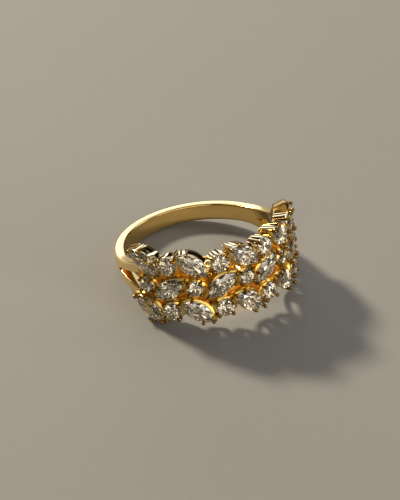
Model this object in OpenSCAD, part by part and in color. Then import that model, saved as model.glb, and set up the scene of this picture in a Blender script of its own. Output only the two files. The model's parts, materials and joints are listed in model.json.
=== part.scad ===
// Wide cluster ring: a plain split-shoulder shank that carries nine columns of
// open claw baskets in three rows. Marquise and round stones alternate like a
// chequerboard. The modules draw the ring with the finger axis along Z, the origin at
// the centre of the finger hole and the head facing -Y. The finished ring lies on its
// side: it leans back from there until the shank touches the surface, because the
// head is taller than the shank.

/* [Ring size] */
// Inside diameter of the finger hole
finger_d = 17; // [16.2:0.1:18]
// Height of the plain shank along the finger axis
shank_h = 2; // [1.6:0.1:2.4]
// Thickness of the shank at the back of the ring
shank_back_t = 1; // [0.8:0.05:1.3]
// How much thicker the shank is at the head than at the back
shank_swell = 0.3; // [0:0.05:0.5]

/* [Split shoulders] */
// Where the shoulders start to widen, measured from the axis away from the head
flare_start = 4.2; // [3:0.1:5]
// Radius of the sweep that widens the shoulders
flare_r = 18; // [14:1:26]
// Where the shank splits in two, measured from the axis away from the head
split_start = 1.7; // [0.8:0.1:2.4]
// Rise of each side of the split for every millimetre towards the head
split_slope = 0.235; // [0.15:0.005:0.28]
// How far towards the head the two branches run
branch_end = 3.9; // [3.4:0.1:4.2]

/* [Head layout] */
// Angle from one column of stones to the next
pitch = 16.4; // [15.8:0.1:17]
// Distance between the rows of stones
row_gap = 2.75; // [2.65:0.05:2.9]
// Radius from the finger axis to the girdle of every stone
girdle_r = 10.35; // [10.2:0.05:10.6]
// Tilt of the marquise stones in the two outer rows
outer_tilt = -37; // [-45:1:-30]
// Tilt of the marquise stones in the middle row
middle_tilt = 33; // [28:1:45]

/* [Stones] */
// Length of a marquise stone
marquise_l = 4; // [3.6:0.1:4.1]
// Width of a marquise stone
marquise_w = 2.1; // [1.8:0.05:2.2]
// Diameter of the round stones in the two outer rows
round_d = 2.1; // [1.7:0.05:2.2]
// Diameter of the round stones in the middle row
small_round_d = 1.75; // [1.4:0.05:1.9]

/* [Baskets] */
// Thickness of the pierced gallery plate next to the finger
gallery_t = 0.42; // [0.35:0.01:0.5]
// Width of metal left round each opening of the gallery plate
gallery_rim = 0.32; // [0.25:0.01:0.4]
// How far the edge of the gallery plate lies inside the outline of a stone
gallery_inset = 0.1; // [0:0.01:0.15]
// Thickness of the collet wall round a stone
collet_t = 0.15; // [0.12:0.01:0.18]
// Depth of a collet below the girdle
collet_h = 0.62; // [0.5:0.01:0.8]
// Radius of a claw
claw_r = 0.15; // [0.12:0.01:0.17]
// Radius of the bead at the tip of a claw
bead_r = 0.2; // [0.18:0.01:0.22]

/* [Rest] */
// Angle the ring leans back, away from the head, as it lies on its side
lean_back = 13.75; // [13:0.05:15]
// Angle it leans to the left of the head, onto the lowest claw there
lean_side = 0.45; // [0:0.05:1.5]

/* [Hidden] */
$fn = 48;
// Free space between a stone and the metal
gap = 0.04;
bore_r = finger_d / 2;
columns = 9;
// The band of the gallery plate: degrees past the end columns, and height over the
// distance between the outer rows
band_past = 8;
band_over = 0.4;
// Depth that shapes for the gallery plate reach past its faces before they are trimmed
deep = 1;

// Hand setting of each column: turn in degrees about the finger axis, the rise in
// millimetres of its top, middle and bottom stone, and how much less its marquises tilt.
SETTING = [
  [0.8, 0.1, 0.15, 0, 0],
  [0, 0, -0.05, 0, 0],
  [-0.5, 0.05, 0, -0.05, 0],
  [0, -0.1, 0, 0, 0],
  [-0.1, 0.05, 0.2, 0, 0],
  [-0.8, 0, 0.15, 0, 0],
  [-0.4, 0.05, 0, 0, 0],
  [0, 0, 0, 0, 0],
  [-0.4, -0.1, 0.1, 0, 6.5],
];

// Rows: name, number of row gaps above the middle, whether marquises stand in the
// odd columns (1) or the even ones (0), marquise tilt, round stone's diameter.
ROWS = [
  ["top", 1, 1, outer_tilt, round_d],
  ["middle", 0, 0, middle_tilt, small_round_d],
  ["bottom", -1, 1, outer_tilt, round_d],
];

// One stone: name, is it a marquise, angle of its column, height, tilt, half length, half width
function is_marquise(row, col) = (col % 2 == 1) == (row[2] == 1);
function column_angle(col) = 270 + (col - (columns + 1) / 2) * pitch + SETTING[col - 1][0];
function stone(r, col) =
  let (row = ROWS[r], long = is_marquise(row, col))
  [
    str(long ? "marquise_" : "round_", row[0], "_", col),
    long,
    column_angle(col),
    row[1] * row_gap + SETTING[col - 1][1 + r],
    long ? row[3] - sign(row[3]) * SETTING[col - 1][4] : 0,
    (long ? marquise_l : row[4]) / 2,
    (long ? marquise_w : row[4]) / 2,
  ];
STONES = [for (r = [0 : len(ROWS) - 1], col = [1 : columns]) stone(r, col)];

// Outline of a stone moved outwards by d. A marquise is the overlap of two circles
// whose radius arc_r and offset arc_k follow from its half length a and half width b.
function arc_r(a, b) = (a * a + b * b) / (2 * b);
function arc_k(a, b) = arc_r(a, b) - b;
module outline(s, d) {
  a = s[5];
  b = s[6];
  if (s[1])
    intersection_for (side = [-1, 1])
      translate([0, side * arc_k(a, b)]) circle(arc_r(a, b) + d, $fn = 96);
  else
    circle(a + d);
}

// Moves a child from a stone's own frame (x round the ring, y along the finger axis,
// z outwards from the finger) to its place on the head.
module on_head(s) {
  rotate([90, 0, s[2] + 90]) translate([0, s[3], 0]) rotate(s[4]) children();
}

// Side view of the shank: a strip that widens towards the head and splits in two
module shank_side() {
  reach = 2 * bore_r;
  run = split_start + branch_end + 1;
  difference() {
    translate([-branch_end, -bore_r / 2]) square([reach, bore_r]);
    for (side = [-1, 1]) {
      translate([flare_start, side * (shank_h / 2 + flare_r)]) circle(flare_r, $fn = 180);
      translate([flare_start, side > 0 ? shank_h / 2 : -shank_h / 2 - reach])
        square([reach, reach]);
    }
    polygon([[split_start, 0], [split_start - run, split_slope * run],
             [split_start - run, -split_slope * run]]);
  }
}

// The finger hole is cut from the whole mount, so the shank starts as a disc
module shank() {
  outer_r = bore_r + shank_back_t + shank_swell / 2;
  intersection() {
    translate([0, -shank_swell / 2, -bore_r / 2]) cylinder(r = outer_r, h = bore_r, $fn = 180);
    rotate([90, 0, 90]) linear_extrude(4 * bore_r, center = true) shank_side();
  }
}

// Plate under all the baskets: a band that reaches to the middle of the outer rows,
// and the outline of each stone, which scallops both edges of the ring
module gallery_plate() {
  sweep = (columns - 1) * pitch + band_past;
  band_h = 2 * row_gap + band_over;
  intersection() {
    cylinder(r = bore_r + gallery_t, h = 4 * row_gap, center = true, $fn = 180);
    union() {
      rotate(270 - sweep / 2) rotate_extrude(angle = sweep, $fn = 180)
        translate([bore_r - deep, -band_h / 2]) square([2 * deep, band_h]);
      for (s = STONES)
        on_head(s) translate([0, 0, bore_r - 0.8 * deep])
          linear_extrude(1.6 * deep) outline(s, -gallery_inset);
    }
  }
}

// Openings behind the stones, through the gallery plate and the ends of the shoulders
module windows() {
  for (s = STONES)
    on_head(s) translate([0, 0, bore_r - 2 * deep])
      linear_extrude(girdle_r - bore_r + 2 * deep) outline(s, -gallery_inset - gallery_rim);
}

// Upright wall round the stone with a ledge under its sloping underside
module collet(s) {
  ledge = 0.28;
  on_head(s) translate([0, 0, girdle_r - collet_h]) difference() {
    linear_extrude(collet_h) outline(s, gap + collet_t);
    translate([0, 0, -1]) linear_extrude(2 * collet_h + 1) outline(s, -ledge);
    translate([0, 0, collet_h - ledge - gap]) linear_extrude(1) outline(s, gap);
  }
}

// Leaning round wire that starts on the gallery plate under the outline of a stone at
// x, y, leans outwards in the direction dir, and passes just outside the girdle
module post(x, y, dir, top_z) {
  foot_z = bore_r + gallery_t / 2;
  foot_d = -gallery_inset - 0.1;
  girdle_d = gap + claw_r + 0.01;
  lean = atan((girdle_d - foot_d) / (girdle_r - foot_z));
  translate([x, y, 0]) rotate(dir) translate([foot_d, 0, foot_z]) rotate([0, lean, 0])
    cylinder(r = claw_r, h = (top_z - foot_z) / cos(lean), $fn = 24);
}

// Claw: a post with a bead that reaches over the edge of the stone
module claw(x, y, dir) {
  bead_over = 0.05;
  bead_rise = 0.28;
  post_rise = 0.12;
  post(x, y, dir, girdle_r + post_rise);
  translate([x, y, 0]) rotate(dir) translate([bead_over, 0, girdle_r + bead_rise])
    sphere(bead_r, $fn = 24);
}

// A round stone has four claws, a marquise has one at each tip and one on each side, the
// upper one nearer to the left tip and the lower one nearer to the right. Rounds of the
// outer rows have two more posts on the ring's edge.
module claws(s) {
  a = s[5];
  b = s[6];
  edge = s[3] > row_gap / 2 ? 90 : s[3] < -row_gap / 2 ? 270 : undef;
  edge_spread = 16;
  side_share = 0.55;
  on_head(s)
    if (s[1]) {
      along = side_share * a;
      turn = asin(along / arc_r(a, b));
      across = arc_r(a, b) * cos(turn) - arc_k(a, b);
      for (end = [-1, 1]) {
        claw(end * a, 0, end > 0 ? 0 : 180);
        claw(end * along, -end * across, -end * (90 - end * turn));
      }
    }
    else {
      for (turn = [45 : 90 : 315]) claw(a * cos(turn), a * sin(turn), turn);
      if (edge != undef)
        for (turn = [edge - edge_spread, edge + edge_spread])
          post(a * cos(turn), a * sin(turn), turn, girdle_r);
    }
}

// The soldered metal: shank, gallery plate, collets and claws, with the finger hole
module gold_mount() {
  color("#D9A441")
    difference() {
      union() {
        difference() {
          union() {
            shank();
            gallery_plate();
          }
          windows();
        }
        for (s = STONES) {
          collet(s);
          claws(s);
        }
      }
      cylinder(r = bore_r, h = 4 * bore_r, center = true, $fn = 180);
    }
}

// Points along the girdle of a stone: 16 of them, the first at the tip
function girdle_point(s, i) =
  let (a = s[5], b = s[6], half = 8, upper = i <= half,
       step = (upper ? i : 2 * half - i) / (half / 2),
       turn = asin(a / arc_r(a, b)) * (1 - step))
  s[1]
    ? [arc_r(a, b) * sin(turn), (upper ? 1 : -1) * (arc_r(a, b) * cos(turn) - arc_k(a, b))]
    : [a * cos(i * 22.5), a * sin(i * 22.5)];
function ring_points(s, picks, share, z) =
  [for (i = picks) let (p = girdle_point(s, i % 16)) [p[0] * share, p[1] * share, z]];

// Brilliant cut: table, star and kite facets, girdle, lower girdle facets and culet
module cut_stone(s) {
  depth = 2 * s[6];
  crown = 0.15 * depth;
  pavilion = 0.43 * depth;
  girdle = 0.03;
  table_share = 0.56;
  star_share = 0.78;
  star_rise = 0.62;
  keel_share = s[1] ? 0.3 : 0.24;
  keel_rise = 0.92;
  star_z = crown * star_rise;
  keel_z = -pavilion * (1 - keel_share * keel_rise);
  mains = [0 : 2 : 14];
  halves = [1 : 2 : 15];
  points = concat(
    ring_points(s, mains, table_share, girdle + crown),
    ring_points(s, halves, star_share, girdle + star_z),
    ring_points(s, [0 : 15], 1, girdle),
    ring_points(s, [0 : 15], 1, -girdle),
    ring_points(s, halves, keel_share, -girdle + keel_z),
    [[0, 0, -girdle - pavilion]]
  );
  // first index of each ring of points
  star = 8;
  upper = 16;
  lower = 32;
  keel = 48;
  culet = 56;
  faces = concat(
    [[for (i = [7 : -1 : 0]) i]],
    [for (i = [0 : 7]) [i, (i + 1) % 8, star + i]],
    [for (i = [0 : 7]) [i, star + i, upper + 2 * i]],
    [for (i = [0 : 7]) [i, upper + 2 * i, star + (i + 7) % 8]],
    [for (i = [0 : 7]) [star + i, upper + 2 * i + 1, upper + 2 * i]],
    [for (i = [0 : 7]) [star + i, upper + (2 * i + 2) % 16, upper + 2 * i + 1]],
    [for (k = [0 : 15]) [upper + k, upper + (k + 1) % 16, lower + k]],
    [for (k = [0 : 15]) [upper + (k + 1) % 16, lower + (k + 1) % 16, lower + k]],
    [for (i = [0 : 7]) [lower + 2 * i, lower + 2 * i + 1, keel + i]],
    [for (i = [0 : 7]) [lower + 2 * i + 1, lower + (2 * i + 2) % 16, keel + i]],
    [for (i = [0 : 7]) [lower + 2 * i, keel + i, culet]],
    [for (i = [0 : 7]) [lower + 2 * i, culet, keel + (i + 7) % 8]]
  );
  color("#DFE3EA")
    on_head(s) translate([0, 0, girdle_r]) polyhedron(points, faces);
}

// The pose in which the ring rests: on claws at both ends of the head and on the
// back of the shank
module resting() {
  rotate([-lean_back, -lean_side, 0]) children();
}

resting() gold_mount();
for (s = STONES) resting() cut_stone(s);
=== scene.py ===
import json
import math
from collections import Counter, namedtuple
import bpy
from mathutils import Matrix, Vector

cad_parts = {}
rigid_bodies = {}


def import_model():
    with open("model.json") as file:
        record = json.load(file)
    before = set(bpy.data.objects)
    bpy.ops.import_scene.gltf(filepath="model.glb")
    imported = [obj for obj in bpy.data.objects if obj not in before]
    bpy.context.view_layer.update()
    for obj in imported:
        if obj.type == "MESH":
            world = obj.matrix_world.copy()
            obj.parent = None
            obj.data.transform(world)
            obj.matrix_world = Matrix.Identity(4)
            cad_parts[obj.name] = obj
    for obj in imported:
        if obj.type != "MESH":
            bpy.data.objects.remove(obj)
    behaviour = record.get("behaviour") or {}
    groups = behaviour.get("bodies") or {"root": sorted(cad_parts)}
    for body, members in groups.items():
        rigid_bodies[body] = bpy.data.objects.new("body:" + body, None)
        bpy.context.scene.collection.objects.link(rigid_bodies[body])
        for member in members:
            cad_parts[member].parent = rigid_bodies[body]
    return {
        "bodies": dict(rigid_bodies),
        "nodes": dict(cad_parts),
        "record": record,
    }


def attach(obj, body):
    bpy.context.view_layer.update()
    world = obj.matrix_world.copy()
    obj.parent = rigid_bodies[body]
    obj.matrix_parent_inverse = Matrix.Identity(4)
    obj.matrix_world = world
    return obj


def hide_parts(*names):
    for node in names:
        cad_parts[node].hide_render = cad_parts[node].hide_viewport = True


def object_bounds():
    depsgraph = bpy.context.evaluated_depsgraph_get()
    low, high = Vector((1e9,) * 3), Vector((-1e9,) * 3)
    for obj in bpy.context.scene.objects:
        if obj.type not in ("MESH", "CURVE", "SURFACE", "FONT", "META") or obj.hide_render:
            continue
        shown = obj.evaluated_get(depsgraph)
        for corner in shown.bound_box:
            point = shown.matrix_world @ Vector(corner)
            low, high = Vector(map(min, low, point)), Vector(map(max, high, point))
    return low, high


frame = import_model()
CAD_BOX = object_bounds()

from types import SimpleNamespace

import bmesh
import bpy
from bpy.props import FloatProperty, FloatVectorProperty, PointerProperty
from mathutils import Matrix, Vector

bl_info = {
    "name": "Marquise ring",
    "version": (1, 0, 0),
    "blender": (4, 5, 0),
    "location": "3D View > Sidebar > Ring",
    "description": "Builds a split-shoulder gold ring with rows of marquise and round stones",
    "category": "Add Mesh",
}

MM = 0.001

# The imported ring: its metal, its body, and the finger hole whose axis leans as the ring rests
METAL_NODE = "gold_mount"
BODY = next(iter(frame["bodies"]))
HOLE = next(m for m in frame["record"]["mounts"] if m["name"] == "finger_hole")
LEAN_BACK = math.asin(HOLE["axis"][1])
LEAN_SIDE = math.atan2(-HOLE["axis"][0], HOLE["axis"][2])
RESTING = Matrix.Rotation(-LEAN_SIDE, 4, "Y") @ Matrix.Rotation(-LEAN_BACK, 4, "X")

COLUMNS = 9
# Hand setting of each column: turn in degrees about the finger axis, the rise in millimetres
# of its top, middle and bottom stone, and how many degrees less its marquises tilt
HAND_SET = (
    (0.8, (0.1, 0.15, 0.0), 0.0),
    (0.0, (0.0, -0.05, 0.0), 0.0),
    (-0.5, (0.05, 0.0, -0.05), 0.0),
    (0.0, (-0.1, 0.0, 0.0), 0.0),
    (-0.1, (0.05, 0.2, 0.0), 0.0),
    (-0.8, (0.0, 0.15, 0.0), 0.0),
    (-0.4, (0.05, 0.0, 0.0), 0.0),
    (0.0, (0.0, 0.0, 0.0), 0.0),
    (-0.4, (-0.1, 0.1, 0.0), 6.5),
)
# Rows of stones: name, row gaps above the middle, and whether marquises stand in the odd columns
Row = namedtuple("Row", "name level odd_marquises")
ROWS = (Row("top", 1, True), Row("middle", 0, False), Row("bottom", -1, True))
# Flat ribs on the open edge of each column's outer baskets: place round the ring from the
# stone's centre and width, in millimetres
RIBS = (
    ((-1.5, 0.2), (-0.9, 0.26), (-0.52, 0.3), (0.68, 0.8)),
    ((-0.92, 0.14), (-0.06, 0.26), (0.62, 0.14)),
    ((-1.56, 0.2), (-1.22, 0.16), (-0.7, 0.34)),
    ((-0.9, 0.2), (-0.6, 0.18), (-0.22, 0.3), (0.5, 0.34)),
    ((-1.56, 0.26), (-1.18, 0.32), (-0.74, 0.3)),
    ((-0.9, 0.2), (-0.56, 0.26), (-0.14, 0.32), (0.5, 0.3)),
    ((-1.56, 0.28), (-1.18, 0.3), (-0.74, 0.3)),
    ((-0.83, 0.26), (-0.3, 0.32), (0.42, 0.26)),
    ((-1.52, 0.16),),
)
# Baskets that keep their wall on the edge of the ring too
WALLED = ("marquise_top_9",)
# Eyelet between the third and fourth stone of the top row: angle round the finger and height,
# distance from the finger axis, and how many degrees its face turns up
EYELET = (246.25, 2.84)
EYELET_RADIUS = 10.17
EYELET_TURNED_UP = 25
# Corners of the small plate soldered between three stones: angle round the finger, height,
# and distance from the finger axis
GUSSET = ((262.2, 1.94, 9.9), (267.0, 1.45, 10.03), (265.7, 0.76, 10.22))
# Sections round a stone, in millimetres: distance outside its outline and depth below its girdle
SEAT_RIM = ((0.03, 0.02), (0.06, 0.02), (0.08, 0.05), (0.09, 0.14),
            (0.05, 0.22), (0.0, 0.24), (-0.07, 0.2), (-0.04, 0.12))
CUP_WALL = ((0.07, 0.08), (0.22, 0.17), (0.34, 0.28), (0.43, 0.44), (0.4, 0.75))
# Least share of a wall's outward direction along the finger where it faces the edge of the ring
FACES_EDGE = 0.38

Stone = namedtuple("Stone", "name column marquise angle level height tilt a b")


def linear(hex_colour):
    """An sRGB hex colour as linear red, green and blue."""
    channels = (int(hex_colour[i:i + 2], 16) / 255 for i in (1, 3, 5))
    return tuple(c / 12.92 if c <= 0.04045 else ((c + 0.055) / 1.055) ** 2.4 for c in channels)


def length(label, millimetres, description):
    return FloatProperty(name=label, description=description, default=millimetres * MM,
                         unit="LENGTH", subtype="DISTANCE", precision=5)


def angle(label, degrees, description):
    return FloatProperty(name=label, description=description, default=math.radians(degrees),
                         unit="ROTATION", subtype="ANGLE")


def colour(label, hex_colour, description):
    return FloatVectorProperty(name=label, description=description, default=linear(hex_colour),
                               subtype="COLOR", size=3, min=0, max=1)


class RingSizes(bpy.types.PropertyGroup):
    """Sizes of the ring's metal and stones"""
    bore_r: length("Hole radius", HOLE["dims"]["r_mm"], "Inside radius of the ring")
    shank_h: length("Shank height", 2.0, "Height of the plain shank")
    shank_t: length("Shank thickness", 1.05, "Thickness at the back of the ring")
    shank_swell: length("Swell", 0.3, "How much thicker the shank is at the head")
    flare_start: length("Flare start", 4.2, "Where the shoulders widen, from the axis")
    flare_r: length("Flare radius", 18.0, "Radius of the sweep that widens the shoulders")
    split_start: length("Split start", 1.7, "Where the shank forks, from the axis")
    split_slope: FloatProperty(name="Split slope", description="Rise of each side of the fork",
                               default=0.235)
    branch_end: length("Branch end", 3.9, "How far towards the head the branches run")
    pitch: angle("Pitch", 16.4, "Angle from one column of stones to the next")
    row_gap: length("Row gap", 2.75, "Distance between the rows of stones")
    girdle_r: length("Girdle radius", 10.35, "From the finger axis to the stones' girdles")
    outer_tilt: angle("Outer tilt", -37.0, "Tilt of the marquises in the outer rows")
    middle_tilt: angle("Middle tilt", 33.0, "Tilt of the marquises in the middle row")
    marquise_l: length("Marquise length", 4.0, "Length of a marquise stone")
    marquise_w: length("Marquise width", 2.1, "Width of a marquise stone")
    round_d: length("Round diameter", 2.1, "Diameter of the rounds in the outer rows")
    small_round_d: length("Small round", 1.75, "Diameter of the rounds in the middle row")
    gallery_t: length("Gallery thickness", 0.42, "Thickness of the gallery under the stones")
    gallery_rim: length("Gallery rim", 0.17, "Width of the rails round the gallery's openings")
    gallery_inset: length("Gallery inset", 0.1, "How far the rails lie inside the stones' outlines")
    window_inset: length("Window inset", 0.5, "Metal inside a stone's outline round its window")
    claw_r: length("Claw radius", 0.15, "Radius of a claw's wire")
    bead_r: length("Bead radius", 0.24, "Radius of the bead at the tip of a claw")
    rib_t: length("Rib thickness", 0.1, "Thickness of the flat ribs on the open edges")


class RingFinish(bpy.types.PropertyGroup):
    """Colours of the gold and of the stones"""
    gold: colour("Gold", "#F7DB99", "Colour of 18 carat yellow gold where it faces the eye")
    # Paler than the gold: painted highlight on the bright-cut ribs, seat rims, rails, eyelet and plate.
    gold_bright: colour("Bright gold", "#FCEBBE", "Colour of the bright-cut ribs and rails")
    # Darker than the gold: painted shade on the inside of the band and the web's finger side.
    gold_inside: colour("Inside gold", "#F0CE85", "Colour of the satin gold inside the band")
    # Deeper yellow: painted reflection of gold mirrored in gold on the cup walls.
    gold_deep: colour("Deep gold", "#FACD68", "Colour of the cup walls, which mirror each other's gold")
    # Amber: painted glow of gold mirrored in gold, and painted shade, between the baskets.
    gold_shade: colour("Shaded gold", "#EBAC40", "Colour of the gold deep between the baskets")
    # Dark gold: painted dark reflection on the claws and the basket walls at the ring's edge.
    gold_filed: colour("Filed gold", "#9C7836", "Colour of the filed claws and of the end basket")
    # Near black gold: painted shade on the baskets' insides and on the web under the stones.
    gold_dull: colour("Dull gold", "#463C22", "Colour of the unpolished gold inside the baskets")
    # Warm stone colour: partly faint body colour, partly painted reflection of the gold round the stones.
    stone: colour("Stone", "#FCEBC8", "Body colour of the faintly warm stones")


class StudioSettings(bpy.types.PropertyGroup):
    """Floor, lights and camera"""
    floor: colour("Floor", "#8C8983", "Colour of the plain floor")
    azimuth: angle("Azimuth", -31.4, "Direction of the camera, turned from the front of the head")
    elevation: angle("Elevation", 38.486, "Height of the camera above the horizon")
    roll: angle("Roll", 1.07, "Turn of the camera about its line of sight")
    distance: length("Distance", 280.7, "From the camera to the middle of the finger hole")
    aim_right: length("Aim right", 0.036, "How far right of the axis the camera aims")
    aim_up: length("Aim up", 0.470, "How far above the origin the camera aims")
    lens: FloatProperty(name="Focal length", description="Focal length in millimetres",
                        default=180.09, unit="CAMERA")


def in_mm(group):
    """The values of a property group, with its lengths in millimetres."""
    values = {}
    for prop in group.bl_rna.properties:
        if prop.identifier in group.__annotations__:
            value = getattr(group, prop.identifier)
            values[prop.identifier] = value / MM if prop.unit == "LENGTH" else value
    return SimpleNamespace(**values)


def stone_list(size):
    """Every stone: its name, place, tilt, half length a and half width b."""
    stones = []
    for r, row in enumerate(ROWS):
        for col in range(1, COLUMNS + 1):
            marquise = (col % 2 == 1) == row.odd_marquises
            kind = "marquise" if marquise else "round"
            turn, rises, less = HAND_SET[col - 1]
            tilt = size.outer_tilt if row.level else size.middle_tilt
            tilt -= math.copysign(math.radians(less), tilt)
            round_d = size.round_d if row.level else size.small_round_d
            stones.append(Stone(
                name=f"{kind}_{row.name}_{col}",
                column=col,
                marquise=marquise,
                angle=math.radians(270 + turn) + (col - (COLUMNS + 1) / 2) * size.pitch,
                level=row.level,
                height=row.level * size.row_gap + rises[r],
                tilt=tilt if marquise else 0.0,
                a=(size.marquise_l if marquise else round_d) / 2,
                b=(size.marquise_w if marquise else round_d) / 2,
            ))
    return stones


def on_head(stone):
    """Moves a stone's own frame (x round the ring, y along the finger axis, z outwards) to the head."""
    return (Matrix.Rotation(stone.angle + math.pi / 2, 4, "Z") @ Matrix.Rotation(math.pi / 2, 4, "X")
            @ Matrix.Translation((0, stone.height, 0)) @ Matrix.Rotation(stone.tilt, 4, "Z"))


def on_ring(degrees, height):
    """Moves a frame whose z axis points outwards from the finger to that angle and height."""
    return (Matrix.Rotation(math.radians(degrees + 90), 4, "Z") @ Matrix.Rotation(math.pi / 2, 4, "X")
            @ Matrix.Translation((0, height, 0)))


def outline_point(stone, turn, offset):
    """Point and outward direction on a stone's outline, moved out by offset; turn 0 is its right tip."""
    if not stone.marquise:
        out = Vector((math.cos(turn), math.sin(turn), 0))
        return out * (stone.a + offset), out
    arc_r = (stone.a ** 2 + stone.b ** 2) / (2 * stone.b)
    arc_k = arc_r - stone.b
    half = math.acos(arc_k / (arc_r + offset))
    upper = turn < math.pi
    swing = half * (1 - 2 * (turn if upper else turn - math.pi) / math.pi)
    out = Vector((math.sin(swing), math.cos(swing), 0)) * (1 if upper else -1)
    centre = Vector((0, -arc_k if upper else arc_k, 0))
    return centre + out * (arc_r + offset), out


def across_ring(stone, point):
    """How far round the ring a point of the stone's own frame lies from the stone's centre."""
    return point.x * math.cos(stone.tilt) - point.y * math.sin(stone.tilt)


def along_axis(stone, point):
    """How far along the finger axis a point of the stone's own frame lies from its centre."""
    return point.x * math.sin(stone.tilt) + point.y * math.cos(stone.tilt)


def on_cylinder(stone, point, radius):
    """The point moved straight out from the finger until it lies at that radius."""
    return Vector((point.x, point.y, math.sqrt(radius ** 2 - across_ring(stone, point) ** 2)))


def edges_of(verts):
    """The edges that meet at some points, each once and always in the same order."""
    return list(dict.fromkeys(e for v in verts for e in v.link_edges))


LOOP_STEPS = 56


def loop_round(bm, stone, offset, height, curved=False):
    """Closed loop of edges round a stone, at a height, or curved to lie at that radius."""
    verts = bmesh.ops.create_circle(bm, segments=LOOP_STEPS, radius=1)["verts"]
    for v in verts:
        turn = math.atan2(v.co.y, v.co.x) % (2 * math.pi)
        point, _ = outline_point(stone, turn, offset)
        v.co = on_cylinder(stone, point, height) if curved else point + Vector((0, 0, height))
    return edges_of(verts)


def rail_round(bm, stone, section, curved=False):
    """Closed rail with that section, whose points are offset and height, round a stone."""
    loops = [loop_round(bm, stone, offset, height, curved) for offset, height in section]
    for one, two in zip(loops, loops[1:] + loops[:1]):
        bmesh.ops.bridge_loops(bm, edges=one + two)


def rounded_section(offset, height, width, depth, power=0.6, points=12):
    """Section of a rail with soft corners about its centre, as offset and height pairs."""
    section = []
    for i in range(points):
        turn = 2 * math.pi * (i + 0.5) / points
        c, s = math.cos(turn), math.sin(turn)
        section.append((offset + width / 2 * math.copysign(abs(c) ** power, c),
                        height + depth / 2 * math.copysign(abs(s) ** power, s)))
    return section


def between(start, end):
    """Matrix whose origin is half way between two points and whose z axis runs from one to the other."""
    turn = (end - start).to_track_quat("Z", "Y").to_matrix().to_4x4()
    return Matrix.Translation((start + end) / 2) @ turn


CREASE = math.radians(38)


def finish_piece(name, bm, place, materials):
    """Makes a bmesh in millimetres a piece of the ring at its place, shaded smooth except at creases."""
    bm.transform(Matrix.Scale(MM, 4) @ RESTING @ place)
    bmesh.ops.recalc_face_normals(bm, faces=bm.faces)
    for face in bm.faces:
        face.smooth = True
    for edge in bm.edges:
        edge.smooth = edge.calc_face_angle(0) < CREASE
    mesh = bpy.data.meshes.new(name)
    bm.to_mesh(mesh)
    bm.free()
    for material in materials:
        mesh.materials.append(material)
    piece = bpy.data.objects.new(name, mesh)
    bpy.context.scene.collection.objects.link(piece)
    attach(piece, BODY)
    return piece


def upright_face(polygon):
    """A face's place in millimetres, and how far it looks away from the finger, -1 to 1."""
    upright = RESTING.inverted()
    place = upright @ polygon.center / MM
    normal = upright.to_3x3() @ polygon.normal
    return place, normal.xy.dot(place.xy.normalized())


def metal_piece(*args):
    """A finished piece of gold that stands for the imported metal."""
    piece = finish_piece(*args)
    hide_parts(METAL_NODE)
    return piece


def add_node(tree, kind, inputs=None):
    """Adds a shader node; an input is a value, or a socket to link."""
    node = tree.nodes.new(kind)
    for key, value in (inputs or {}).items():
        if isinstance(value, bpy.types.NodeSocket):
            tree.links.new(value, node.inputs[key])
        else:
            node.inputs[key].default_value = value
    return node


def new_material(name):
    """A new material and its empty node tree, or the one made before and None."""
    material = bpy.data.materials.get(name)
    if material:
        return material, None
    material = bpy.data.materials.new(name)
    material.use_nodes = True
    material.node_tree.nodes.clear()
    return material, material.node_tree


def rgba(rgb, share=1.0):
    """A linear colour, darkened to that share, for a shader node."""
    return tuple(c * share for c in rgb[:3]) + (1.0,)


def yellow_gold(name, rgb, rough_low, rough_high, scratch_mm, scratch_depth_mm):
    """18 carat yellow gold: soft cloudy changes of gloss, and hairlines from wear."""
    cloud_mm, cloud_low, cloud_high, worn_tone, hair_thinness = 2.2, 0.35, 0.65, 0.95, 5.0
    material, tree = new_material(name)
    if tree is None:
        return material
    place = add_node(tree, "ShaderNodeTexCoord").outputs["Object"]
    cloud = add_node(tree, "ShaderNodeTexNoise",
                     {"Vector": place, "Scale": 1 / (cloud_mm * MM), "Detail": 3.0})
    rough = add_node(tree, "ShaderNodeMapRange",
                     {"Value": cloud.outputs["Fac"], "From Min": cloud_low, "From Max": cloud_high,
                      "To Min": rough_low, "To Max": rough_high})
    tone = add_node(tree, "ShaderNodeValToRGB", {"Fac": cloud.outputs["Fac"]})
    tone.color_ramp.elements[0].color = rgba(rgb, worn_tone)
    tone.color_ramp.elements[1].color = rgba(rgb)
    stretch = add_node(tree, "ShaderNodeMapping", {"Vector": place, "Scale": (1.0, 1.0, hair_thinness)})
    hairs = add_node(tree, "ShaderNodeTexNoise",
                     {"Vector": stretch.outputs["Vector"], "Scale": 1 / (scratch_mm * MM), "Detail": 2.0})
    bump = add_node(tree, "ShaderNodeBump",
                    {"Height": hairs.outputs["Fac"], "Distance": scratch_depth_mm * MM, "Strength": 1.0})
    shader = add_node(tree, "ShaderNodeBsdfPrincipled",
                      {"Base Color": tone.outputs["Color"], "Metallic": 1.0,
                       "Roughness": rough.outputs["Result"], "Normal": bump.outputs["Normal"]})
    add_node(tree, "ShaderNodeOutputMaterial", {"Surface": shader.outputs["BSDF"]})
    return material


def ring_metals(finish):
    """Gold of the band: mirror-like outside, and satin inside, where a finger has rubbed it; the darker
    colour inside is painted shade.

    Each line gives the least and most roughness, and the hairlines' width and depth in millimetres.
    """
    outside = yellow_gold("buffed_yellow_gold", finish.gold, 0.11, 0.19, 0.12, 0.0004)
    inside = yellow_gold("satin_gold_inside", finish.gold_inside, 0.15, 0.26, 0.08, 0.0004)
    return outside, inside


BUFFED, SATIN_PAINTED_SHADE = range(2)


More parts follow.
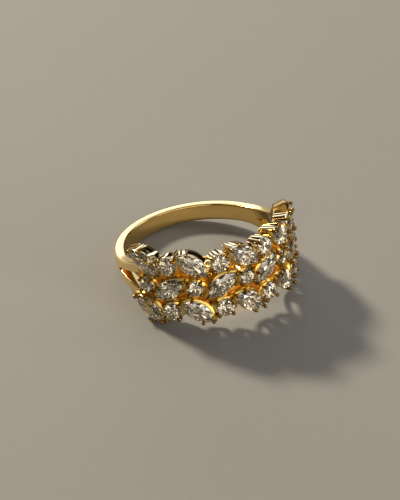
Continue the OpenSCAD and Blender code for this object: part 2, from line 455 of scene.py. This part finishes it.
def setting_metals(finish):
    """Gold of the head: bright-cut ribs, claws, cup walls, valleys, and the baskets' insides.

    The paler colour of the ribs, seat rims, rails, eyelet and plate is painted highlight, and the
    darker colour of the small claws and the basket walls at the ring's edge is painted dark reflection.
    The deeper yellow of the cup walls and the amber of the valleys are painted reflection of gold in
    gold, with painted shade in the valleys, and the near black of the cast insides behind the stones is
    painted shade.
    """
    bright = yellow_gold("bright_cut_gold", finish.gold_bright, 0.06, 0.14, 0.1, 0.0003)
    darkened = yellow_gold("filed_gold", finish.gold_filed, 0.1, 0.2, 0.1, 0.0004)
    wall = yellow_gold("cup_wall_gold", finish.gold_deep, 0.22, 0.34, 0.1, 0.0004)
    shade = yellow_gold("amber_valley_gold", finish.gold_shade, 0.26, 0.38, 0.1, 0.0004)
    inner = yellow_gold("dull_cast_gold", finish.gold_dull, 0.35, 0.5, 0.06, 0.0015)
    return bright, darkened, wall, shade, inner


BRIGHT, PAINTED_DARK, WALL, SHADE, DULL_PAINTED_SHADE = range(5)


def cut_diamond(finish):
    """Brilliant-cut diamond: high refraction and mirror facets sparkle; lilac and green patches are painted
    dispersion fire, and the warm tone is partly faint body colour, partly painted reflection of the gold.
    """
    tint_and_fire_mm, polish = 0.5, 0.02
    material, tree = new_material("brilliant_cut_diamond")
    if tree is None:
        return material
    place = add_node(tree, "ShaderNodeTexCoord").outputs["Object"]
    tint_and_fire = add_node(tree, "ShaderNodeTexNoise",
                    {"Vector": place, "Scale": 1 / (tint_and_fire_mm * MM), "Detail": 1.0})
    tone = add_node(tree, "ShaderNodeValToRGB", {"Fac": tint_and_fire.outputs["Fac"]})
    # The lilac and green ends are painted dispersion fire; the warm middle is partly body colour, partly
    # painted reflection of the gold.
    tone.color_ramp.elements[0].color = rgba(linear("#F5DCD6"))
    tone.color_ramp.elements[1].color = rgba(linear("#EDEDC8"))
    tone.color_ramp.elements.new(0.5).color = rgba(finish.stone)
    shader = add_node(tree, "ShaderNodeBsdfPrincipled",
                      {"Base Color": tone.outputs["Color"], "Roughness": polish,
                       "IOR": 2.417, "Transmission Weight": 1.0})
    add_node(tree, "ShaderNodeOutputMaterial", {"Surface": shader.outputs["BSDF"]})
    return material


SHANK_STEPS = 200


class RING_OT_shank(bpy.types.Operator):
    """Spread a strip round the finger, fork it at both shoulders and give it its thickness"""
    bl_idname = "ring.shank"
    bl_label = "Shank and Split Shoulders"

    def execute(self, context):
        weld, faces_finger = 1e-4, -0.25
        size = in_mm(context.scene.ring_sizes)
        middle_r = size.bore_r + size.shank_t / 2
        reach = math.pi / 2 + math.asin(size.branch_end / middle_r)
        bm = bmesh.new()
        bmesh.ops.create_grid(bm, x_segments=SHANK_STEPS, y_segments=1, size=1)
        for v in bm.verts:
            turn, share = math.pi / 2 + v.co.x * reach, (v.co.y + 1) / 2
            forward = middle_r * math.sin(turn)
            flare = max(0.0, size.flare_start - forward)
            top = size.shank_h / 2 + size.flare_r - math.sqrt(size.flare_r ** 2 - flare ** 2)
            gap = max(0.0, size.split_start - forward) * size.split_slope
            v.co = (size.bore_r * math.cos(turn), size.bore_r * math.sin(turn), gap + (top - gap) * share)
        bmesh.ops.mirror(bm, geom=bm.verts[:] + bm.edges[:] + bm.faces[:], matrix=Matrix.Identity(4),
                         merge_dist=weld, axis="Z")
        bmesh.ops.recalc_face_normals(bm, faces=bm.faces)
        grown = bmesh.ops.extrude_face_region(bm, geom=bm.faces[:])["geom"]
        outer_r = size.bore_r + size.shank_t + size.shank_swell / 2
        for v in (g for g in grown if isinstance(g, bmesh.types.BMVert)):
            out = Vector((v.co.x, v.co.y)).normalized()
            shift = size.shank_swell / 2
            radius = -shift * out.y + math.sqrt(outer_r ** 2 - (shift * out.x) ** 2)
            v.co = (out.x * radius, out.y * radius, v.co.z)
        bmesh.ops.recalc_face_normals(bm, faces=bm.faces)
        self.round_edges(bm, size)
        piece = metal_piece("shank_and_shoulders", bm, Matrix.Identity(4),
                            ring_metals(context.scene.ring_finish))
        # Faces towards the finger take the satin gold whose darker colour is painted shade.
        for polygon in piece.data.polygons:
            _, looks_out = upright_face(polygon)
            polygon.material_index = SATIN_PAINTED_SHADE if looks_out < faces_finger else BUFFED
        self.part_normals(piece.data)
        return {"FINISHED"}

    def part_normals(self, mesh):
        """Keeps the shading of the flat sides apart where many edges of a rounding run together."""
        many = 6
        meeting = Counter(i for edge in mesh.edges for i in edge.vertices)
        for edge in mesh.edges:
            if max(meeting[i] for i in edge.vertices) > many:
                edge.use_edge_sharp = True

    def round_edges(self, bm, size):
        """Rounds the long edges: softly outside, slightly inside and in the fork."""
        crotch, fork_width, sharp_angle, outer_share = 0.5, 0.05, math.radians(50), 0.6
        for outside, fork, radius in ((True, False, 0.28), (False, False, 0.2), (True, True, 0.16)):
            edges = []
            for e in bm.edges:
                middle = (e.verts[0].co + e.verts[1].co) / 2
                out = middle.xy.length - size.bore_r > size.shank_t * outer_share
                sharp = e.calc_face_angle(0) > sharp_angle
                along = abs(e.verts[0].co.z - e.verts[1].co.z) < e.calc_length() / 2
                forward = (size.bore_r + size.shank_t / 2) * middle.y / middle.xy.length
                gap = max(0.0, size.split_start - forward) * size.split_slope
                in_fork = abs(abs(middle.z) - gap) < fork_width
                past_crotch = gap > crotch * size.split_slope
                if sharp and along and out == outside and in_fork == fork and (past_crotch or not fork):
                    edges.append(e)
            bmesh.ops.bevel(bm, geom=edges, offset=radius, offset_type="OFFSET", segments=5,
                            profile=0.5, affect="EDGES", clamp_overlap=False, material=-1)


class RING_OT_gallery(bpy.types.Operator):
    """Lay a thin web under the head, a rail round each opening in it, an eyelet and a small plate"""
    bl_idname = "ring.gallery"
    bl_label = "Gallery"

    def execute(self, context):
        size = in_mm(context.scene.ring_sizes)
        stones = stone_list(size)
        metals = setting_metals(context.scene.ring_finish)
        # The web's faces towards the finger take the satin gold whose darker colour is painted shade.
        satin = ring_metals(context.scene.ring_finish)[SATIN_PAINTED_SHADE]
        web = metal_piece("gallery_web", self.web(stones, size), Matrix.Identity(4),
                          [satin, metals[SHADE], metals[DULL_PAINTED_SHADE]])
        self.colour_web(web, stones, size)
        # Rails, eyelet and plate take the paler gold whose colour is painted highlight.
        metal_piece("gallery_rails", self.rails(stones, size), Matrix.Identity(4), [metals[BRIGHT]])
        turned_up = (Matrix.Translation((0, 0, EYELET_RADIUS))
                     @ Matrix.Rotation(-math.radians(EYELET_TURNED_UP), 4, "X"))
        metal_piece("eyelet", self.eyelet(), on_ring(*EYELET) @ turned_up, [metals[BRIGHT]])
        metal_piece("gusset", self.gusset(size), Matrix.Identity(4), [metals[BRIGHT]])
        return {"FINISHED"}

    def inside(self, stones, size, turn, z):
        """How far inside the nearest stone's outline a place of the web is, below 0 outside."""
        far, near = 9.0, 3.0
        middle_r = size.bore_r + size.gallery_t / 2
        deepest = -far
        for s in stones:
            x, y = middle_r * math.sin(turn - s.angle), z - s.height
            if max(abs(x), abs(y)) > near:
                continue
            c, n = math.cos(s.tilt), math.sin(s.tilt)
            u, w = x * c + y * n, y * c - x * n
            arc_r = (s.a ** 2 + s.b ** 2) / (2 * s.b)
            deepest = max(deepest, arc_r - math.hypot(u, abs(w) + arc_r - s.b))
        return deepest

    def metal_left(self, stones, size, turn, z):
        """How far a place of the web is from an edge of its metal, below 0 where there is none."""
        past_rows, past_columns = 0.2, math.radians(8)
        middle_r = size.bore_r + size.gallery_t / 2
        reach = (COLUMNS - 1) / 2 * size.pitch + past_columns
        band = min(size.row_gap + past_rows - abs(z), (reach - abs(turn - 1.5 * math.pi)) * middle_r)
        under = self.inside(stones, size, turn, z)
        return min(max(band, under - size.gallery_inset), size.window_inset - under)

    def web(self, stones, size):
        """Grid cut to the gallery's outline and windows, rolled round the finger and made thick."""
        cell, spare_turn, spare_h, recess = 0.13, math.radians(14), 1.7, 0.02
        middle_r = size.bore_r + size.gallery_t / 2
        half_turn = (COLUMNS - 1) / 2 * size.pitch + spare_turn
        half_h = size.row_gap + spare_h
        bm = bmesh.new()
        bmesh.ops.create_grid(bm, x_segments=round(2 * half_turn * middle_r / cell),
                              y_segments=round(2 * half_h / cell), size=1)
        for v in bm.verts:
            v.co = (1.5 * math.pi + v.co.x * half_turn, v.co.y * half_h, 0)
        empty = [f for f in bm.faces if self.metal_left(stones, size, *f.calc_center_median().xy) < 0]
        bmesh.ops.delete(bm, geom=empty, context="FACES")
        self.fit_border(bm, stones, size, cell)
        inner_r = size.bore_r + recess
        for v in bm.verts:
            v.co = (inner_r * math.cos(v.co.x), inner_r * math.sin(v.co.x), v.co.y)
        grown = bmesh.ops.extrude_face_region(bm, geom=bm.faces[:])["geom"]
        for v in (g for g in grown if isinstance(g, bmesh.types.BMVert)):
            turn = math.atan2(v.co.y, v.co.x) % (2 * math.pi)
            rise = self.pad(stones, size, turn, v.co.z)
            v.co.xy = v.co.xy.normalized() * (size.bore_r + size.gallery_t - 2 * recess + rise)
        return bm

    def fit_border(self, bm, stones, size, cell):
        """Moves the border of the flat grid onto the edge of the metal."""
        step, passes, least_slope = cell / 8, 2, 0.3
        middle_r = size.bore_r + size.gallery_t / 2
        for v in (v for v in bm.verts if v.is_boundary):
            for _ in range(passes):
                x, y, _ = v.co
                here = self.metal_left(stones, size, x, y)
                slope = Vector((self.metal_left(stones, size, x + step / middle_r, y) - here,
                                self.metal_left(stones, size, x, y + step) - here)) / step
                if slope.length > least_slope:
                    move = slope * (-here / slope.length_squared)
                    move = move.normalized() * min(move.length, cell)
                    v.co.x += move.x / middle_r
                    v.co.y += move.y

    def pad(self, stones, size, turn, z):
        """Height of the raised metal between the baskets, which falls away under them and at the edges."""
        height, edge_inset, edge_fall, stone_inset, stone_fall = 0.92, 0.3, 0.5, 0.12, 0.15
        at_edge = (size.row_gap - edge_inset - abs(z)) / edge_fall
        at_stone = (stone_inset - self.inside(stones, size, turn, z)) / stone_fall
        return height * min(1.0, max(0.0, at_edge)) * min(1.0, max(0.0, at_stone))

    def colour_web(self, web, stones, size):
        """Faces that look away from the finger are amber, painted glow of gold in gold and painted shade,
        and near black under the stones, painted shade.
        """
        amber_glow_and_shade, painted_shade_under_stone, faces_finger, under_stone = 1, 2, -0.3, 0.05
        for polygon in web.data.polygons:
            place, looks_out = upright_face(polygon)
            if looks_out > faces_finger:
                turn = math.atan2(place.y, place.x) % (2 * math.pi)
                # Amber faces are painted glow and shade; faces under the stones are painted shade.
                hidden = self.inside(stones, size, turn, place.z) > under_stone
                polygon.material_index = painted_shade_under_stone if hidden else amber_glow_and_shade

    def rails(self, stones, size):
        """A rail with soft corners round the window behind each stone."""
        depth, recess = 0.34, 0.01
        section = rounded_section(-size.gallery_inset - size.gallery_rim / 2,
                                  size.bore_r + depth / 2 + recess, size.gallery_rim, depth)
        bm = bmesh.new()
        for s in stones:
            rail = bmesh.new()
            rail_round(rail, s, section, True)
            rail.transform(on_head(s))
            mesh = bpy.data.meshes.new("rail")
            rail.to_mesh(mesh)
            rail.free()
            bm.from_mesh(mesh)
            bpy.data.meshes.remove(mesh)
        return bm

    def eyelet(self):
        """Thick washer with a soft rim, spun round the z axis, that joins two baskets."""
        hole_r, outer_r, foot, top, soft = 0.22, 0.45, -0.25, 0.1, 0.07
        profile = ((outer_r, foot), (outer_r, top - soft), (outer_r - soft, top),
                   (hole_r + soft, top), (hole_r, top - soft), (hole_r, foot))
        bm = bmesh.new()
        verts = [bm.verts.new((x, 0, z)) for x, z in profile]
        edges = [bm.edges.new((verts[i - 1], verts[i])) for i in range(len(verts))]
        bmesh.ops.spin(bm, geom=verts + edges, cent=(0, 0, 0), axis=(0, 0, 1), steps=32,
                       angle=2 * math.pi, use_merge=True)
        return bm

    def gusset(self, size):
        """Small plate between three baskets, with a flat face that leans up to the light."""
        foot_rise, soft = 0.3, 0.05
        bm = bmesh.new()
        corners = [bm.verts.new(on_ring(turn, height) @ Vector((0, 0, top)))
                   for turn, height, top in GUSSET]
        face = bm.faces.new(corners)
        grown = bmesh.ops.extrude_face_region(bm, geom=[face])["geom"]
        for v in (g for g in grown if isinstance(g, bmesh.types.BMVert)):
            v.co.xy = v.co.xy.normalized() * (size.bore_r + foot_rise)
        bmesh.ops.recalc_face_normals(bm, faces=bm.faces)
        bmesh.ops.bevel(bm, geom=bm.edges[:], offset=soft, offset_type="OFFSET", segments=2,
                        profile=0.5, affect="EDGES", clamp_overlap=True, material=-1)
        return bm


class RING_OT_settings(bpy.types.Operator):
    """Build the basket of each stone: seat rail, cup wall, ribs on open edges and beaded claws"""
    bl_idname = "ring.settings"
    bl_label = "Claw Baskets"

    def execute(self, context):
        size = in_mm(context.scene.ring_sizes)
        metals = setting_metals(context.scene.ring_finish)
        for stone in stone_list(size):
            bm = bmesh.new()
            self.cup(bm, stone, size)
            self.seat(bm, stone, size)
            self.ribs(bm, stone, size)
            self.claws(bm, stone, size)
            # Seat rims and ribs keep the first slot, the paler gold whose colour is painted highlight.
            metal_piece(f"setting_{stone.name}", bm, on_head(stone), metals)
        return {"FINISHED"}

    def seat(self, bm, stone, size):
        """Thin rim that the stone's girdle rests in; its inner side slopes as the stone does."""
        rail_round(bm, stone, [(offset, size.girdle_r - depth) for offset, depth in SEAT_RIM])

    def cup(self, bm, stone, size):
        """Wall that widens from the seat to the gallery, open towards the edge of the ring."""
        foot_offset, foot_r, thickness = 0.05, size.bore_r + 0.16, 0.11
        loops = [loop_round(bm, stone, offset, size.girdle_r - depth) for offset, depth in CUP_WALL]
        loops.append(loop_round(bm, stone, foot_offset, foot_r, True))
        wall = []
        for one, two in zip(loops, loops[1:]):
            wall += bmesh.ops.bridge_loops(bm, edges=one + two)["faces"]
        bmesh.ops.recalc_face_normals(bm, faces=wall)
        opened = []
        for face in wall:
            out = face.normal.xy.normalized()
            if out.dot(face.calc_center_median().xy) < 0:
                out.negate()
            if stone.name not in WALLED and stone.level * along_axis(stone, out) > FACES_EDGE:
                opened.append(face)
        bmesh.ops.delete(bm, geom=opened, context="FACES")
        wall = [f for f in wall if f.is_valid]
        bmesh.ops.solidify(bm, geom=wall, thickness=thickness)
        bmesh.ops.recalc_face_normals(bm, faces=bm.faces)
        # Outer faces at the ring's edge take painted dark reflection, other outer faces painted reflection
        # of gold in gold, and inner faces painted shade.
        for face in bm.faces:
            outwards = face.normal.xy.dot(face.calc_center_median().xy) > 0
            at_edge = stone.level * along_axis(stone, face.normal.xy.normalized()) > FACES_EDGE
            face.material_index = (PAINTED_DARK if at_edge else WALL) if outwards else DULL_PAINTED_SHADE

    def ribs(self, bm, stone, size):
        """Flat upright bars across the open edge of an outer basket."""
        foot_offset, foot_back, head_offset, head_depth, soft = -0.05, 0.2, 0.06, 0.06, 0.025
        if stone.level == 0:
            return
        for place, width in RIBS[stone.column - 1]:
            turn = self.edge_turn(stone, place * stone.level)
            if turn is None:
                continue
            round_ring = Vector((math.cos(stone.tilt), -math.sin(stone.tilt), 0))
            foot = outline_point(stone, turn, foot_offset)[0] - round_ring * foot_back * stone.level
            foot = on_cylinder(stone, foot, size.bore_r + size.gallery_t / 2)
            head, _ = outline_point(stone, turn, head_offset)
            head.z = size.girdle_r - head_depth
            bar = between(foot, head)
            wide = bar.inverted().to_3x3() @ round_ring
            bar = bar @ Matrix.Rotation(math.atan2(wide.y, wide.x), 4, "Z")
            shape = Matrix.Diagonal((width, size.rib_t, (head - foot).length, 1))
            made = bmesh.ops.create_cube(bm, size=1, matrix=bar @ shape)
            bmesh.ops.bevel(bm, geom=edges_of(made["verts"]), offset=soft, offset_type="OFFSET", segments=2,
                            profile=0.5, affect="EDGES", clamp_overlap=True, material=-1)

    def edge_turn(self, stone, place):
        """Turn of the outline's point on the ring's edge that lies at that place round the ring."""
        steps, near = 360, 0.03
        best = None
        for i in range(steps):
            turn = 2 * math.pi * i / steps
            point, _ = outline_point(stone, turn, 0)
            off = abs(across_ring(stone, point) - place)
            height = stone.level * along_axis(stone, point)
            if off < near and (best is None or height > best[0]):
                best = (height, turn)
        return best and best[1]

    def claws(self, bm, stone, size):
        """Round stones have four claws; marquises have one at each tip and a smaller one on each side."""
        side_turns, side_bead = (0.76 * math.pi, 1.76 * math.pi), 0.9
        if not stone.marquise:
            for i in range(4):
                self.claw(bm, stone, size, math.radians(45 + 90 * i), size.bead_r)
            return
        for turn, out in ((0.0, Vector((1, 0, 0))), (math.pi, Vector((-1, 0, 0)))):
            self.claw(bm, stone, size, turn, size.bead_r, out)
        for turn in side_turns:
            self.claw(bm, stone, size, turn, size.bead_r * side_bead)

    def claw(self, bm, stone, size, turn, bead_r, out=None):
        """Tapered wire that leans outwards past the girdle and bends over the stone to a bead."""
        foot_inset, bead_flat = 0.2, 0.92
        bends = ((size.claw_r + 0.06, -0.05), (0.17, 0.16), (0.06, 0.27))
        edge, side = outline_point(stone, turn, 0)
        out = out or side
        foot = on_cylinder(stone, edge - out * foot_inset, size.bore_r + size.gallery_t / 2)
        waist, shoulder, bead = (edge + out * offset + Vector((0, 0, size.girdle_r + rise))
                                 for offset, rise in bends)
        metal = set(bm.faces)
        for start, end, thick, thin in ((foot, waist, 1.1, 1.0), (waist, shoulder, 1.0, 0.95)):
            bmesh.ops.create_cone(bm, cap_ends=True, segments=14, radius1=size.claw_r * thick,
                                  radius2=size.claw_r * thin, depth=(end - start).length,
                                  matrix=between(start, end))
        bmesh.ops.create_icosphere(bm, subdivisions=1, radius=size.claw_r, matrix=Matrix.Translation(waist))
        bmesh.ops.create_icosphere(bm, subdivisions=3, radius=bead_r,
                                   matrix=Matrix.Translation(bead) @ Matrix.Diagonal((1, 1, bead_flat, 1)))
        # The claws and beads take the dark gold whose colour is painted dark reflection.
        for face in bm.faces:
            if face not in metal:
                face.material_index = PAINTED_DARK


class RING_OT_stones(bpy.types.Operator):
    """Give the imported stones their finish"""
    bl_idname = "ring.stones"
    bl_label = "Stones"

    def execute(self, context):
        diamond = cut_diamond(context.scene.ring_finish)
        for name, stone in frame["nodes"].items():
            if name != METAL_NODE:
                stone.data.materials.clear()
                stone.data.materials.append(diamond)
        return {"FINISHED"}


# Soft lamps: direction from the ring in degrees, distance and size in millimetres, power in watts.
# The small key lamp draws the shadow; the others are the bright shapes that the gold mirrors
Lamp = namedtuple("Lamp", "name azimuth elevation distance width height power colour")
LAMPS = (
    Lamp("key_softbox", 106, 34, 700, 90, 90, 7.0, "#FFF4E0"),
    Lamp("back_softbox", 64, 11, 700, 560, 280, 1.0, "#F8F9FF"),
    Lamp("overhead_softbox", 46, 56, 600, 700, 440, 0.8, "#FFFFFF"),
    Lamp("front_softbox", 262, 40, 600, 1000, 240, 1.4, "#FFFAF0"),
    Lamp("front_right_softbox", 298, 15, 600, 240, 160, 0.8, "#FFFFFF"),
    Lamp("right_softbox", 346, 33, 600, 200, 200, 0.3, "#FFFFFF"),
)
# Radius of the round floor in metres, and the faint light of the room
FLOOR_RADIUS = 3.0
ROOM_COLOUR = "#C8C4BC"
ROOM_STRENGTH = 0.04


class RING_OT_studio(bpy.types.Operator):
    """Lay the floor under the ring, hang the lights and set the camera at the photographed angle"""
    bl_idname = "ring.studio"
    bl_label = "Studio"

    def execute(self, context):
        studio = context.scene.ring_studio
        self.floor(context, studio)
        for lamp in LAMPS:
            self.light(context, lamp)
        self.world(context)
        self.camera(context, studio)
        return {"FINISHED"}

    def floor(self, context, studio):
        """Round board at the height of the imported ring's lowest point."""
        bm = bmesh.new()
        bmesh.ops.create_circle(bm, cap_ends=True, segments=64, radius=FLOOR_RADIUS,
                                matrix=Matrix.Translation((0, 0, CAD_BOX[0].z)))
        mesh = bpy.data.meshes.new("floor")
        bm.to_mesh(mesh)
        bm.free()
        floor = bpy.data.objects.new("floor", mesh)
        context.scene.collection.objects.link(floor)
        mesh.materials.append(self.painted_board(studio))

    def painted_board(self, studio):
        """Board with matt paint: no mirror image of the ring, and a fine grain from the roller."""
        grain_mm, grain_depth_mm, low_tone, rough = 0.35, 0.02, 0.9, 0.75
        material, tree = new_material("matt_painted_board")
        if tree is None:
            return material
        place = add_node(tree, "ShaderNodeTexCoord").outputs["Object"]
        grain = add_node(tree, "ShaderNodeTexNoise",
                         {"Vector": place, "Scale": 1 / (grain_mm * MM), "Detail": 4.0})
        tone = add_node(tree, "ShaderNodeValToRGB", {"Fac": grain.outputs["Fac"]})
        tone.color_ramp.elements[0].color = rgba(studio.floor, low_tone)
        tone.color_ramp.elements[1].color = rgba(studio.floor)
        bump = add_node(tree, "ShaderNodeBump",
                        {"Height": grain.outputs["Fac"], "Distance": grain_depth_mm * MM,
                         "Strength": 0.5})
        shader = add_node(tree, "ShaderNodeBsdfPrincipled",
                          {"Base Color": tone.outputs["Color"], "Roughness": rough,
                           "Normal": bump.outputs["Normal"]})
        add_node(tree, "ShaderNodeOutputMaterial", {"Surface": shader.outputs["BSDF"]})
        return material

    def light(self, context, lamp):
        """Soft lamp that faces the ring."""
        data = bpy.data.lights.new(lamp.name, "AREA")
        data.shape = "RECTANGLE"
        data.size, data.size_y = lamp.width * MM, lamp.height * MM
        data.energy = lamp.power
        data.color = linear(lamp.colour)
        light = bpy.data.objects.new(lamp.name, data)
        azimuth, elevation = math.radians(lamp.azimuth), math.radians(lamp.elevation)
        out = Vector((math.cos(azimuth) * math.cos(elevation), math.sin(azimuth) * math.cos(elevation),
                      math.sin(elevation)))
        facing = out.to_track_quat("Z", "Y").to_matrix().to_4x4()
        light.matrix_world = Matrix.Translation(out * lamp.distance * MM) @ facing
        context.scene.collection.objects.link(light)

    def world(self, context):
        """Faint light of the room, and enough bounces for the stones."""
        world = bpy.data.worlds.new("studio_room")
        context.scene.world = world
        world.use_nodes = True
        background = world.node_tree.nodes["Background"]
        background.inputs["Color"].default_value = rgba(linear(ROOM_COLOUR))
        background.inputs["Strength"].default_value = ROOM_STRENGTH
        context.scene.view_settings.view_transform = "Standard"
        cycles = context.scene.cycles
        cycles.max_bounces = cycles.transmission_bounces = 32
        cycles.glossy_bounces = 12

    def camera(self, context, studio):
        """Camera fitted to the photo, turned and moved as the settings say."""
        data = bpy.data.cameras.new("camera")
        data.lens = studio.lens
        data.sensor_width = 36
        data.clip_start, data.clip_end = 0.01, 20
        camera = bpy.data.objects.new("camera", data)
        back = Vector((math.sin(studio.azimuth) * math.cos(studio.elevation),
                       -math.cos(studio.azimuth) * math.cos(studio.elevation), math.sin(studio.elevation)))
        turn = back.to_track_quat("Z", "Y").to_matrix().to_4x4() @ Matrix.Rotation(studio.roll, 4, "Z")
        offset = turn @ Vector((-studio.aim_right, -studio.aim_up, studio.distance))
        camera.matrix_world = Matrix.Translation(offset) @ turn
        context.scene.collection.objects.link(camera)
        context.scene.camera = camera


class RING_PT_panel(bpy.types.Panel):
    """Steps and sizes of the ring"""
    bl_idname = "RING_PT_panel"
    bl_label = "Marquise Ring"
    bl_space_type = "VIEW_3D"
    bl_region_type = "UI"
    bl_category = "Ring"

    def draw(self, context):
        for operator in STEPS:
            self.layout.operator(operator.bl_idname)
        for group in (context.scene.ring_sizes, context.scene.ring_finish, context.scene.ring_studio):
            box = self.layout.box()
            for name in group.__annotations__:
                box.prop(group, name)


STEPS = (RING_OT_studio, RING_OT_shank, RING_OT_gallery, RING_OT_settings, RING_OT_stones)
CLASSES = (RingSizes, RingFinish, StudioSettings) + STEPS + (RING_PT_panel,)


def register():
    for cls in CLASSES:
        bpy.utils.register_class(cls)
    bpy.types.Scene.ring_sizes = PointerProperty(type=RingSizes)
    bpy.types.Scene.ring_finish = PointerProperty(type=RingFinish)
    bpy.types.Scene.ring_studio = PointerProperty(type=StudioSettings)


def unregister():
    del bpy.types.Scene.ring_sizes, bpy.types.Scene.ring_finish, bpy.types.Scene.ring_studio
    for cls in reversed(CLASSES):
        bpy.utils.unregister_class(cls)


def main():
    register()
    bpy.ops.ring.studio()
    bpy.ops.ring.shank()
    bpy.ops.ring.gallery()
    bpy.ops.ring.settings()
    bpy.ops.ring.stones()


if __name__ == "__main__":
    main()
